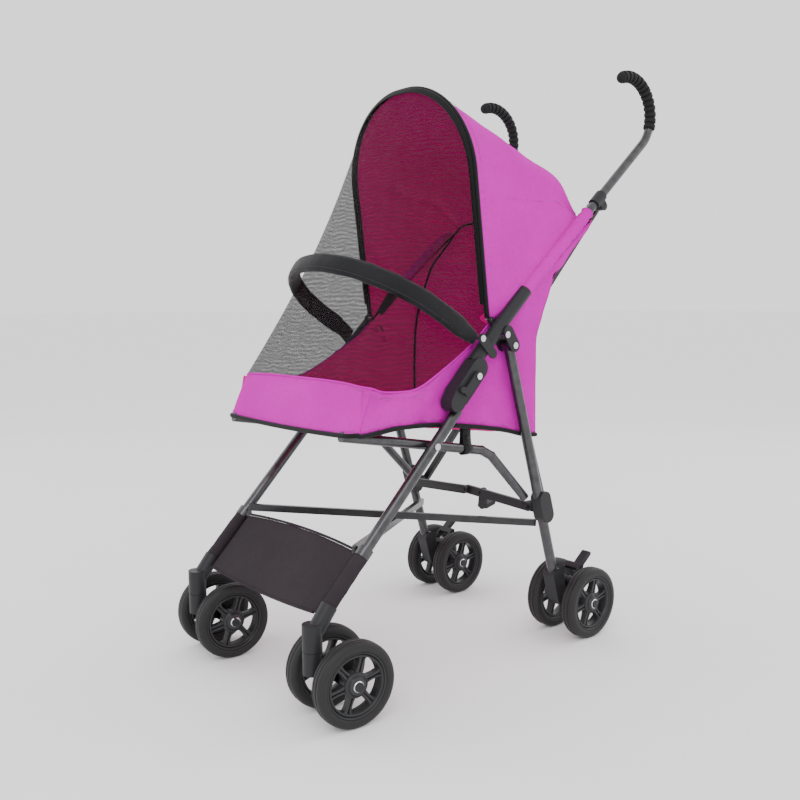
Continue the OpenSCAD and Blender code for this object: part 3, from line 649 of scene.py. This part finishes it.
def mesh_front():
    cols, rows = 121, 26
    top = np.array([bow_point(0.02 + 0.96 * k / (cols - 1), 0.002, 0.004) for k in range(cols)])
    p = np.array(mesh_edge(), float)
    d = np.r_[0, np.cumsum(np.linalg.norm(np.diff(p, axis=0), axis=1))]
    share = np.linspace(0, 1, cols)
    low = np.stack([np.interp(share * d[-1], d, p[:, k]) for k in range(3)], axis=1)
    verts = []
    for i in range(rows):
        f = i / (rows - 1)
        for j in range(cols):
            q = top[j] * (1 - f) + low[j] * f
            t = j / (cols - 1)
            q[0] *= 1 - MESH_WAIST * math.sin(math.pi * f)
            q[1] += 0.010 * math.sin(math.pi * f) * math.sin(math.pi * t)
            q += np.array([0, 1, 0.4]) * 0.0016 * ripple(q, 18.0, 4.0) * math.sin(math.pi * f)
            verts.append(q)
    obj = make("mesh_front", verts, grid_faces(rows, cols), NET)
    face_out(obj, (0, 0.1, 0.6))
    thicken(obj, 0.0006, False, 0.0)
    return obj, top


# ------------------------------------------------------------ making cloth

hood_cloth = place(hood(), "cabin", "cabin_fabric", "canopy_roof")
for side, sign in SIDES:
    panel = place(side_panel(side, sign), "cabin", "cabin_fabric", "cabin_side_" + side)
wall = place(back_wall(), "cabin", "cabin_fabric", "cabin_back")
band = place(front_band(), "cabin", "cabin_fabric", "front_band")
mesh_obj, mesh_top = mesh_front()
place(mesh_obj, "cabin", "mesh", "mesh_panel")

# Canopy bow in its padded black sleeve
bow_path = np.array([bow_point(t) for t in np.linspace(0.012, 0.988, 150)])
bow_up = np.tile([0, math.cos(LEAN), math.sin(LEAN)], (len(bow_path), 1))
cover = sweep("canopy_bow_cover", bow_path, [(0.0040 * math.cos(a), 0.0046 * math.sin(a))
              for a in np.linspace(0, 2 * math.pi, 16, endpoint=False)], PIPING, up=bow_up)
place(cover, "cabin", "bow_piping", "canopy_bow")

# Pink binding where mesh meets fabric, black piping inside the cabin, black hem round its foot
edge_path = smooth_path(mesh_edge(), 260, 2)
binding = sweep("mesh_binding", edge_path, ring(0.0016, 10), PINK)
place(binding, "cabin", "cabin_fabric")
inner_lines = []
for side, sign in SIDES:
    wall_line = [(sign * (side_x(y, z) - 0.0035), y - 0.003, z) for y, z in REAR_EDGE]
    base_line = [hood_point(s, 0.0) * (sign, 1, 1) - np.array([sign * 0.0040, 0, 0])
                 for s in np.linspace(0.02, 0.98, 30)]
    inner_lines.append(sweep("inner_corner", smooth_path(wall_line, 90, 1), ring(0.0022, 8), PIPING))
    inner_lines.append(sweep("inner_line", smooth_path(base_line, 90, 1), ring(0.0022, 8), PIPING))
rear_line = [hood_point(0.985, t) * 0.985 + np.array([0, 0, 0.0085]) for t in np.linspace(0.02, 0.98, 80)]
inner_lines.append(sweep("inner_rear", smooth_path(rear_line, 120, 1), ring(0.0020, 8), PIPING))
inner_piping = join(inner_lines, "inner_piping")
place(inner_piping, "cabin", "bow_piping")
low_right = [(side_x(y, z) + 0.0005, y, z) for y, z in LOW_EDGE]
low_front = [tuple(band_point(u, 0.0)) for u in np.linspace(1, -1, 41)]
low_left = [(-x, y, z) for x, y, z in reversed(low_right)]
hem_path = smooth_path(low_right + low_front + low_left, 320, 2)
hem = sweep("lower_hem", hem_path, ring(0.0042, 12, 0.9), PIPING)
place(hem, "cabin", "bow_piping")

# Stitched seams: both roof edges, by the bow, by the hood's rear, on the band, and on the sides' edges
seam_bits = []


def seam(name, path, centre, mat=THREAD, gap=0.004, lift=0.0006):
    """Two rows of stitches either side of a raised seam line."""
    p = resample(path, max(12, int(len(path))))
    out = p - np.array(centre)
    out /= np.linalg.norm(out, axis=1)[:, None]
    t = np.gradient(p, axis=0)
    t /= np.linalg.norm(t, axis=1)[:, None]
    side = np.cross(t, out)
    out = np.cross(side, t)
    bits = [stitches(name, p + side * k * gap + out * lift, mat, out) for k in (-0.5, 0.5)]
    seam_bits.extend(bits)


for t_seam in (0.2, 0.8):
    seam("roof_seam", [hood_point(s, t_seam) for s in np.linspace(0.05, 0.97, 40)], (0, 0, 0.6))
seam("bow_seam", [hood_point(0.055, t) for t in np.linspace(0.05, 0.95, 150)], (0, 0.3, 0.6))
seam("rear_seam", [hood_point(0.975, t) for t in np.linspace(0.08, 0.92, 120)], (0, 0.0, 0.5))
for v in (0.08, 0.92):
    seam("band_seam", [band_point(u, v) for u in np.linspace(-0.97, 0.97, 120)], (0, 0.4, 0.45))
for sign in (1, -1):
    seam("edge_seam", [(sign * (side_x(y, z) + 0.0006), y + 0.004, z - 0.010)
                       for y, z in resample(RIGHT_EDGE, 70)], (0, 0, 0.3))
    seam("hem_seam", [(sign * (side_x(y, z) + 0.0006), y, z + 0.010)
                      for y, z in resample(LOW_EDGE, 60)[2:-2]], (0, 0, 0.9))
stitching = join(seam_bits, "cabin_stitching")
place(stitching, "cabin", "cabin_fabric")

# Tape that holds the mesh to the bow
TAPE = [(0.005, 0), (0.0035, 0.0006), (-0.0035, 0.0006), (-0.005, 0)]
zip_path = smooth_path([p + np.array([0, -0.0035, -0.001]) for p in mesh_top[2:-2]], 260, 1)
zip_tape = sweep("mesh_zip", zip_path, TAPE, PIPING, up=np.tile([0, -0.6, 0.3], (len(zip_path), 1)))
place(zip_tape, "cabin", "bow_piping")


# ------------------------------------------------------------- bumper bar

BUMPER_PIVOT = (-0.058, 0.556)
BUMPER_ANGLE = math.radians(32)
BUMPER_R = 0.170
BUMPER_ARM = 0.061


def bumper_path(n):
    """Middle line of the bumper: two straight arms and a half circle."""
    arm = [(BUMPER_R, -0.004), (BUMPER_R, BUMPER_ARM)]
    arc = [(BUMPER_R * math.cos(a), BUMPER_ARM + BUMPER_R * math.sin(a))
           for a in np.linspace(0, math.pi, 90)]
    pts = resample(arm + arc[1:-1] + [(-BUMPER_R, BUMPER_ARM), (-BUMPER_R, -0.004)], n)
    c, s = math.cos(BUMPER_ANGLE), math.sin(BUMPER_ANGLE)
    return np.array([(x, BUMPER_PIVOT[0] - v * c, BUMPER_PIVOT[1] + v * s) for x, v in pts])


def bumper_cover():
    n = 170
    path = bumper_path(n)
    c, s = math.cos(BUMPER_ANGLE), math.sin(BUMPER_ANGLE)
    up = np.tile([0, s, c], (n, 1))
    half_h, half_t = 0.0165, 0.0064
    profile = []
    for k in range(28):
        a = 2 * math.pi * k / 28
        ca, sa = math.cos(a), math.sin(a)
        x = half_t * math.copysign(abs(ca) ** 0.75, ca) * (1 + 0.12 * math.cos(2 * a))
        y = half_h * math.copysign(abs(sa) ** 0.62, sa)
        profile.append((x, y))
    scale = [min(1.0, 0.62 + 0.38 * min(i, n - 1 - i) / 10) for i in range(n)]
    obj = sweep("bumper_cover", path, profile, PADDED, up=up, scale=scale)
    for v in obj.data.vertices:
        puff = 0.0010 * ripple(v.co, 30.0, 8.0) + 0.0005 * ripple(v.co, 70.0, 2.0)
        v.co += v.normal * puff
    return obj, path, up


bumper, bpath, bup = bumper_cover()
place(bumper, "bumper", "bumper_cover", "bumper_bar")
_, b_side, b_up = frames_along(bpath, bup)
rows = []
for level in (-0.0112, 0.0112):
    for face in (-1, 1):
        line = bpath + b_up * level + b_side * face * 0.0060
        rows.append(stitches("bumper_row", line[4:-4], DARK_THREAD, (b_side * face)[4:-4], 0.0045, 0.003))
row_obj = join(rows, "bumper_stitching")
place(row_obj, "bumper", "bumper_cover")


# --------------------------------------------------------------- footrest

LEG_TOP = np.array([-0.099, 0.4408])
LEG_FOOT = np.array([-0.371, 0.1568])
LEG_WAY = (LEG_FOOT - LEG_TOP) / np.linalg.norm(LEG_FOOT - LEG_TOP)
FOOT_HALF_W = 0.1675


def footrest():
    rows, cols = 26, 75
    verts = []
    for i in range(rows):
        v = i / (rows - 1)
        for j in range(cols):
            u = 2 * j / (cols - 1) - 1
            top = 0.283 - 0.010 * (1 - abs(u) ** 2.0)
            low = 0.387 + 0.010 * (1 - u * u)
            d = top + (low - top) * v
            yz = LEG_TOP + LEG_WAY * d
            bow = 0.004 * (1 - u * u) * math.sin(math.pi * v) \
                + 0.0012 * ripple((u * 0.16, yz[1], 0.0), 30.0, 6.0) * (1 - abs(u))
            front = -0.0092 * (1 - min(1.0, (1 - abs(u)) / 0.12)) - bow
            verts.append((FOOT_HALF_W * u * 1.045, yz[0] + LEG_WAY[1] * front, yz[1] - LEG_WAY[0] * front))
    obj = make("footrest_cloth", verts, grid_faces(rows, cols), [CHARCOAL, CHARCOAL])
    face_out(obj, (0, 0, 0.6))
    thicken(obj, CLOTH_T, True, 0.0)
    return obj


rest_obj = footrest()
place(rest_obj, "cabin", "footrest_cloth", "footrest_panel")
foot_rows = []
for d in (0.279, 0.389):
    line = []
    for u in np.linspace(-0.92, 0.92, 80):
        k = d + (-0.0085 if d < 0.3 else 0.0065) * (1 - u * u)
        yz = LEG_TOP + LEG_WAY * k
        line.append((FOOT_HALF_W * u, yz[0], yz[1]))
    foot_rows.append(sweep("foot_hem", smooth_path(line, 80, 1), ring(0.0022, 8), CHARCOAL))
foot_hem = join(foot_rows, "footrest_hem")
place(foot_hem, "cabin", "footrest_cloth")

for side, sign in SIDES:
    frame_body = side + "_frame"
    # footrest pocket round the front leg
    pocket_path = [(sign * HALF_W, *(LEG_TOP + LEG_WAY * d)) for d in np.linspace(0.280, 0.390, 24)]
    pocket = sweep("footrest_pocket_" + side, pocket_path, ring(0.0112, 20), CHARCOAL, up=(sign, 0, 0))
    for v in pocket.data.vertices:
        v.co += v.normal * 0.0008 * ripple(v.co, 60.0, sign)
    place(pocket, frame_body, "footrest_cloth", fold=False)
    # fabric sleeve that the handle tube runs through
    hand = np.array([0.058, 0.6335])
    hand_way = np.array([math.cos(math.radians(40.8)), math.sin(math.radians(40.8))])
    sleeve_path = [(sign * HALF_W, *(hand + hand_way * d)) for d in np.linspace(-0.004, 0.214, 60)]
    sleeve_scale = [1.0 + 0.10 * math.sin(k * 0.55) ** 2 + (0.12 if k in (0, 59) else 0.0) for k in range(60)]
    sleeve = sweep("handle_sleeve_" + side, sleeve_path, ring(0.0102, 24), PINK, up=(sign, 0, 0),
                   scale=sleeve_scale)
    for v in sleeve.data.vertices:
        v.co += v.normal * 0.0008 * ripple(v.co, 70.0, sign * 3)
    place(sleeve, frame_body, "cabin_fabric", fold=False)
    line = np.array(sleeve_path)[3:-3]
    outward = np.tile([sign * 0.35, 0.62, -0.70], (len(line), 1))
    outward /= np.linalg.norm(outward, axis=1)[:, None]
    sleeve_row = stitches("sleeve_stitching_" + side, line + outward * 0.0113, THREAD, outward)
    place(sleeve_row, frame_body, "cabin_fabric", fold=False)


# ----------------------------------------------------------------- wheels

def lathe(profile, n):
    """Closed (x, r) profile turned about X."""
    verts = []
    for k in range(n):
        a = 2 * math.pi * k / n
        verts += [(x, r * math.cos(a), r * math.sin(a)) for x, r in profile]
    return verts, grid_faces(n, len(profile), True, True)


WHEEL_R, WHEEL_W = 0.065, 0.0276


def tyre_mesh():
    h = WHEEL_W / 2
    outer = [(-h * 0.80, 0.0497), (-h * 0.96, 0.0512), (-h * 0.99, 0.0550), (-h * 0.93, 0.0598),
             (-h * 0.78, 0.0632), (-h * 0.55, 0.0645), (-h * 0.36, 0.0649), (-h * 0.31, 0.0636),
             (-h * 0.24, 0.0636), (-h * 0.19, 0.0650), (0, WHEEL_R)]
    profile = outer + [(-x, r) for x, r in reversed(outer[:-1])]
    verts, faces = lathe(profile, 96)
    return make("tyre_part", verts, faces, TYRE)


def rim_mesh():
    h = 0.0105
    half = [(-h * 0.4, 0.0425), (-h, 0.0430), (-h * 1.04, 0.0446), (-h * 0.78, 0.0455), (-h * 0.78, 0.0470),
            (-h * 1.10, 0.0480), (-h * 1.12, 0.0496), (-h * 0.6, 0.0499)]
    profile = half + [(-x, r) for x, r in reversed(half)]
    verts, faces = lathe(profile, 96)
    parts = [make("rim_part", verts, faces, RIM)]
    hub = [(-0.0138, 0.0047), (-0.0138, 0.0120), (-0.0126, 0.0136), (-0.0100, 0.0140), (-0.0096, 0.0180),
           (-0.0080, 0.0192), (0, 0.0194)]
    profile = hub + [(-x, r) for x, r in reversed(hub[:-1])]
    verts, faces = lathe(profile, 64)
    parts.append(make("hub_part", verts, faces, RIM))
    for k in range(6):
        a = k * math.pi / 3 + 0.2
        rows = []
        for r, wide, thick in ((0.0175, 0.0125, 0.0066), (0.024, 0.0098, 0.0062), (0.033, 0.0092, 0.0058),
                               (0.040, 0.0115, 0.0060), (0.0438, 0.0175, 0.0070)):
            sec = []
            for x, y in ((-1, -0.82), (-0.82, -1), (0.82, -1), (1, -0.82), (1, -0.3), (0.62, -0.22),
                         (0.62, 0.22), (1, 0.3), (1, 0.82), (0.82, 1), (-0.82, 1), (-1, 0.82),
                         (-1, 0.3), (-0.62, 0.22), (-0.62, -0.22), (-1, -0.3)):
                sec.append((x * thick, y * wide / 2, r))
            rows.append(sec)
        verts = []
        for sec in rows:
            for x, y, r in sec:
                verts.append((x, r * math.cos(a) - y * math.sin(a), r * math.sin(a) + y * math.cos(a)))
        faces = grid_faces(len(rows), 16, True, False)
        faces += [tuple(range(16)), tuple(64 + j for j in reversed(range(16)))]
        spoke = make("spoke_part", verts, faces, RIM, smooth=False)
        parts.append(spoke)
    return parts


def cap_mesh(outward):
    """Axle end: a domed push-on cap over a washer."""
    profile = [(0.0, 0.0), (0.0, 0.0085), (0.0009, 0.0087), (0.0010, 0.0068), (0.0022, 0.0066),
               (0.0030, 0.0052), (0.0034, 0.0026), (0.0035, 0.0)]
    n = 40
    verts = []
    for k in range(n):
        a = 2 * math.pi * k / n
        verts += [((WHEEL_W / 2 + x) * outward, r * math.cos(a), r * math.sin(a)) for x, r in profile]
    obj = make("cap_part", verts, grid_faces(n, len(profile), False, True), SILVER)
    return obj


def wheel(name, node, centre, turn, outward, body):
    """One wheel in place of its CAD node."""
    parts = [tyre_mesh()] + rim_mesh() + [cap_mesh(outward), cap_mesh(-outward)]
    obj = join(parts, name)
    bm = bmesh.new()
    bm.from_mesh(obj.data)
    bmesh.ops.remove_doubles(bm, verts=bm.verts, dist=1e-6)
    bmesh.ops.dissolve_degenerate(bm, edges=bm.edges, dist=1e-7)
    bmesh.ops.recalc_face_normals(bm, faces=bm.faces)
    bm.to_mesh(obj.data)
    bm.free()
    obj.data.transform(Matrix.Translation(centre) @ Matrix.Rotation(turn, 4, "Z"))
    place(obj, body, "wheels", node, fold=False)
    return obj


def centre_of(node):
    """Middle of a CAD node's box."""
    lo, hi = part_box(node)
    return [(a + b) / 2 for a, b in zip(lo, hi)]


CASTER_TURN = math.radians(-6)
for side, sign in SIDES:
    for which in ("outer", "inner"):
        out = sign * (1 if which == "outer" else -1)
        name = "front_wheel_%s_%s" % (side, which)
        wheel(name + "_detail", name, centre_of(name), CASTER_TURN, out, "front_%s_%s" % (side, which))
        name = "rear_wheel_%s_%s" % (side, which)
        wheel(name + "_detail", name, centre_of(name), 0.0, out, "rear_%s_%s" % (side, which))


# ----------------------------------------- straps, clips and small fittings

SEAT_X = HALF_W - 0.009 - 0.008 - 0.002    # leg and seat tube radii, and the gap between them
for side, sign in SIDES:
    # webbing loop from the cabin's hem round the seat tube, with a snap
    y0, z_tube = -0.063, 0.3722
    loop = []
    for k in range(40):
        a = math.radians(-150 + 300 * k / 39)
        loop.append((0.0095 * math.sin(a), z_tube - 0.0095 * math.cos(a)))
    ends = [(0.0035, 0.4085), (0.0035, 0.396)]
    pts = ends + loop[::-1] + [(-x, z) for x, z in reversed(ends)]
    path = smooth_path([(sign * (SEAT_X + x), y0, z) for x, z in pts], 90, 1)
    strap = sweep("hem_strap_" + side, path, [(-0.0004, -0.009), (0.0004, -0.009), (0.0008, 0.0),
                                              (0.0004, 0.009), (-0.0004, 0.009), (-0.0008, 0.0)],
                  WEBBING, up=(0, 1, 0))
    place(strap, "cabin", "bow_piping")
    snap_parts = []
    for r, x in ((0.0048, 0.0), (0.0030, 0.0012)):
        n = 28
        prof = [(0, 0), (0, r), (0.0012, r * 0.92), (0.0016, r * 0.5), (0.0017, 0)]
        verts = []
        for k in range(n):
            a = 2 * math.pi * k / n
            verts += [(sign * (SEAT_X + 0.0045 + x + h), y0 + q * math.cos(a), 0.3915 + q * math.sin(a))
                      for h, q in prof]
        snap_parts.append(make("snap_part", verts, grid_faces(n, len(prof), False, True), BLACK))
    snap = join(snap_parts, "snap_button_" + side)
    place(snap, "cabin", "bow_piping")


# -------------------------------------------------- padded floor, simulated

def rounded_pad(half_x, ys, z_of, half_t, name):
    """A flat closed pad with thinner long edges, which follows the height z_of(y)."""
    bm = bmesh.new()
    nx, ny = 26, 30
    verts = {}
    for side_k, s in enumerate((-1, 1)):
        for i in range(nx + 1):
            for j in range(ny + 1):
                u, v = 2 * i / nx - 1, j / ny
                y = ys[0] + (ys[1] - ys[0]) * v
                round_off = (max(0.0, abs(u) - 0.9) / 0.1) ** 2
                edge = 1 - 0.7 * round_off
                verts[(side_k, i, j)] = bm.verts.new((half_x * u, y, z_of(y) + s * half_t * edge))
    for i in range(nx):
        for j in range(ny):
            for k in (0, 1):
                q = [verts[(k, i, j)], verts[(k, i + 1, j)], verts[(k, i + 1, j + 1)], verts[(k, i, j + 1)]]
                bm.faces.new(q if k else q[::-1])
    for i in range(nx):
        for j in (0, ny):
            q = [verts[(0, i, j)], verts[(0, i + 1, j)], verts[(1, i + 1, j)], verts[(1, i, j)]]
            bm.faces.new(q if j == 0 else q[::-1])
    for j in range(ny):
        for i in (0, nx):
            q = [verts[(0, i, j)], verts[(0, i, j + 1)], verts[(1, i, j + 1)], verts[(1, i, j)]]
            bm.faces.new(q[::-1] if i == 0 else q)
    mesh = bpy.data.meshes.new(name)
    bmesh.ops.recalc_face_normals(bm, faces=bm.faces)
    bm.to_mesh(mesh)
    bm.free()
    obj = bpy.data.objects.new(name, mesh)
    bpy.context.collection.objects.link(obj)
    return obj


def inflate(obj, voxel=0.006, pressure=4.0, cap=0.006):
    """Swells a closed shape as cloth under pressure, then limits how far it went."""
    mod = obj.modifiers.new("remesh", "REMESH")
    mod.mode = "VOXEL"
    mod.voxel_size = voxel
    apply_modifiers(obj)
    start = np.array([v.co for v in obj.data.vertices], float)
    cloth = obj.modifiers.new("cloth", "CLOTH")
    cloth.settings.use_pressure = True
    cloth.settings.uniform_pressure_force = pressure
    cloth.settings.effector_weights.gravity = 0
    cloth.settings.quality = 5
    cloth.settings.tension_stiffness = 12
    scene = bpy.context.scene
    for f in range(1, 21):
        scene.frame_set(f)
    apply_modifiers(obj)
    scene.frame_set(1)
    end = np.array([v.co for v in obj.data.vertices], float)
    move = end - start
    far = np.linalg.norm(move, axis=1)
    k = np.minimum(1.0, cap / np.maximum(far, 1e-9))[:, None]
    obj.data.vertices.foreach_set("co", (start + move * k).ravel().astype(np.float32))
    obj.data.update()
    for p in obj.data.polygons:
        p.use_smooth = True
    return smooth_more(obj, 1)


def floor_height(y):
    """Height of the cabin's floor."""
    return float(np.interp(y, [-0.300, -0.137, -0.047, 0.096], [0.429, 0.419, 0.407, 0.3885]))


PAD_HALF_W = 0.139   # before it is drawn out to the side cloths
PAD_LINES = (-0.19, -0.095, 0.0)    # y of the lines sewn across it
PAD_REACH = 0.161    # the pad stops here where the side cloth is further out
floor_pad = inflate(rounded_pad(PAD_HALF_W, (-0.290, 0.088), floor_height, 0.0035, "floor_pad"))
floor_pad.data.materials.clear()
floor_pad.data.materials.append(CRIMSON)
pad_up = [n.vector.z > 0 for n in floor_pad.data.vertex_normals]
for v, up in zip(floor_pad.data.vertices, pad_up):
    for line in PAD_LINES:
        v.co.z -= 0.0022 * math.exp(-((v.co.y - line) / 0.006) ** 2) * (1 if up else -0.3)
    v.co.x *= min(side_x(v.co.y, v.co.z) - 0.003, PAD_REACH) / PAD_HALF_W
place(floor_pad, "cabin", "cabin_fabric", "cabin_floor")


# ------------------------------------------------- materials of the CAD nodes

NODE_LOOK = [
    ("handle_tube", TUBE), ("front_leg", TUBE), ("rear_leg", TUBE), ("seat_tube", TUBE),
    ("back_cross_bar", BARS), ("lower_cross_bar", BARS), ("cross_yoke", BARS),
    ("grip", FOAM), ("frame_rivets", SILVER)
]
for name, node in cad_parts.items():
    look = next((m for key, m in NODE_LOOK if name.startswith(key)), BLACK)
    node.data.materials.clear()
    node.data.materials.append(look)
    for p in node.data.polygons:
        p.material_index = 0


# ------------------------------------------------------ floor, light, camera

def floor_material():
    mat, nodes, links, bsdf, coord = new_material("studio_floor", 0.85)
    fac = noise_node(nodes, links, coord, 3.0)
    colour = mix_colours(nodes, links, fac, (0.93, 0.93, 0.935), (0.95, 0.95, 0.95))
    links.new(colour, bsdf.inputs["Base Color"])
    return mat


FLOOR_HALF = 60
corners = [(x * FLOOR_HALF, y * FLOOR_HALF, 0) for x, y in ((-1, -1), (1, -1), (1, 1), (-1, 1))]
ground = make("floor", corners, [(0, 1, 2, 3)], floor_material())

world = bpy.data.worlds.new("studio")
bpy.context.scene.world = world
world.use_nodes = True
world.node_tree.nodes["Background"].inputs["Color"].default_value = (1.0, 1.0, 1.0, 1)
world.node_tree.nodes["Background"].inputs["Strength"].default_value = 1.5


def area_light(name, place_at, aim, size, power):
    data = bpy.data.lights.new(name, "AREA")
    data.shape = "DISK"
    data.size = size
    data.energy = power
    obj = bpy.data.objects.new(name, data)
    bpy.context.collection.objects.link(obj)
    obj.location = place_at
    obj.rotation_euler = (Vector(aim) - Vector(place_at)).to_track_quat("-Z", "Y").to_euler()
    return obj


area_light("key", (1.9, -2.1, 2.6), (0, 0, 0.5), 1.8, 34)
area_light("fill", (-2.4, -1.6, 1.6), (0, 0, 0.5), 2.2, 14)
area_light("back", (0.8, 2.6, 2.0), (0, 0, 0.6), 2.0, 20)

# where a camera fitted to the wheels and to matching points stands
cam_data = bpy.data.cameras.new("camera")
cam_data.lens = 40.73
cam_data.sensor_width = 36.0
cam_data.shift_x = -0.0182
cam_data.shift_y = 0.0177
camera = bpy.data.objects.new("camera", cam_data)
bpy.context.collection.objects.link(camera)
camera.location = (1.2324, -1.0978, 0.6132)
camera.rotation_euler = (math.radians(90 - 7.006), math.radians(0.095), math.radians(49.31))
bpy.context.scene.camera = camera
